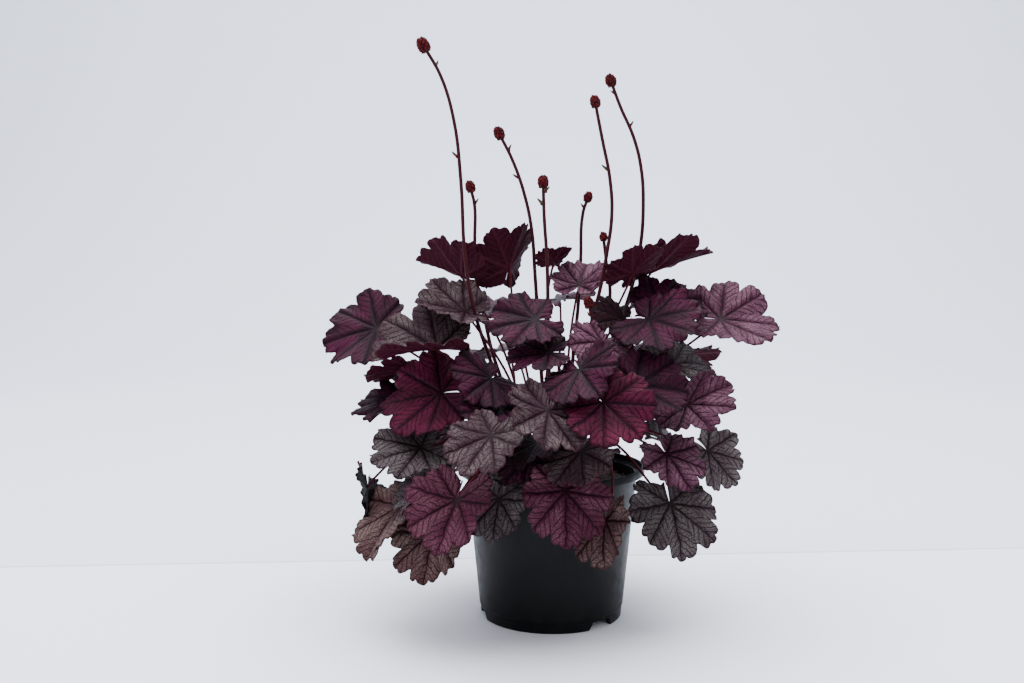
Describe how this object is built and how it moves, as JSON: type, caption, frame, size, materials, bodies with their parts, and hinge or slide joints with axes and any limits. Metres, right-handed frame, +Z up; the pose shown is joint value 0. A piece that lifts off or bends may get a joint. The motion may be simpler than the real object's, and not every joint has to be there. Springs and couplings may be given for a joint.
{
  "type": "potted heuchera plant",
  "caption": "Bushy potted heuchera: lobed, waved, veined leaves in silver, purple and magenta round slim flower stalks, in a plain black plastic nursery pot.",
  "frame": {"origin": "centre of the pot's base, on the surface it stands on", "axes": "+Z up along the pot's axis; -Y towards the front, the side that the picture shows; +X to the right of that view"},
  "size_m": [0.4678, 0.39, 0.585],
  "materials": {
    "pot_plastic": "black injection-moulded nursery plastic, satin, light scuffs",
    "soil": "damp peat compost with bark chips and grit",
    "bark": "rough woody crown with old leaf bases",
    "stalk": "dark red-brown finely hairy stem with pink-red buds",
    "leaf_brown": "brown-pink weathered leaf with dark veins, dull",
    "leaf_dark": "near-black purple young leaf, satin",
    "leaf_grey": "grey-green leaf with dark net veins, dull satin",
    "leaf_magenta": "bright magenta leaf with darker veins, satin",
    "leaf_mauve": "mauve-pink leaf with purple veins, satin",
    "leaf_pink": "pink-rose leaf with dark purple veins, satin",
    "leaf_plum": "deep plum-purple leaf with dark veins, satin",
    "leaf_red": "dark magenta-red leaf, underside side showing, satin",
    "leaf_silver": "silver leaf with dark purple net veins, dull satin"
  },
  "bodies": {
    "root": {"pot": "pot_plastic", "soil": "soil", "crown": "bark", "leaf_pink_front": "leaf_pink", "leaf_pink_fold": "leaf_pink", "leaf_silver_left": "leaf_silver", "leaf_silver_mid": "leaf_silver", "leaf_magenta_mid": "leaf_magenta", "leaf_plum_mid": "leaf_plum", "leaf_plum_right": "leaf_plum", "leaf_magenta_left": "leaf_magenta", "leaf_grey_left": "leaf_grey", "leaf_grey_left_low": "leaf_grey", "leaf_brown_left": "leaf_brown", "leaf_brown_far_left": "leaf_brown", "leaf_dark_edge_left": "leaf_dark", "leaf_grey_front_low": "leaf_grey", "leaf_dark_small": "leaf_plum", "leaf_silver_low": "leaf_silver", "leaf_brown_right": "leaf_brown", "leaf_grey_right_low": "leaf_grey", "leaf_mauve_right": "leaf_mauve", "leaf_grey_far_right": "leaf_grey", "leaf_mauve_up_right": "leaf_mauve", "leaf_plum_far_left": "leaf_plum", "leaf_silver_fold_left": "leaf_silver", "leaf_silver_up_left": "leaf_silver", "leaf_red_up_left": "leaf_red", "leaf_red_top": "leaf_red", "leaf_purple_top": "leaf_plum", "leaf_purple_under_top": "leaf_plum", "leaf_plum_left_mid": "leaf_plum", "leaf_grey_up_right": "leaf_grey", "leaf_red_top_right": "leaf_red", "leaf_purple_up_right": "leaf_plum", "leaf_purple_right": "leaf_plum", "leaf_dark_up_mid": "leaf_dark", "leaf_mauve_far_right": "leaf_mauve", "leaf_red_top_mid": "leaf_red", "leaf_pink_top": "leaf_mauve", "leaf_bud_top": "leaf_red", "leaf_mauve_mid": "leaf_mauve", "shoot_front": "leaf_plum", "shoot_right_back": "leaf_plum", "shoot_back_right": "leaf_silver", "shoot_back_right_low": "leaf_mauve", "shoot_back": "leaf_plum", "shoot_back_left": "leaf_silver", "shoot_back_left_high": "leaf_plum", "shoot_left_back": "leaf_grey", "shoot_far_left": "leaf_plum", "stalk_tall_left": "stalk", "stalk_left": "stalk", "stalk_mid_left": "stalk", "stalk_mid": "stalk", "stalk_mid_right": "stalk", "stalk_tall_mid": "stalk", "stalk_tall_right": "stalk", "stalk_short": "stalk", "stalk_bud": "stalk"}
  },
  "joints": []
}
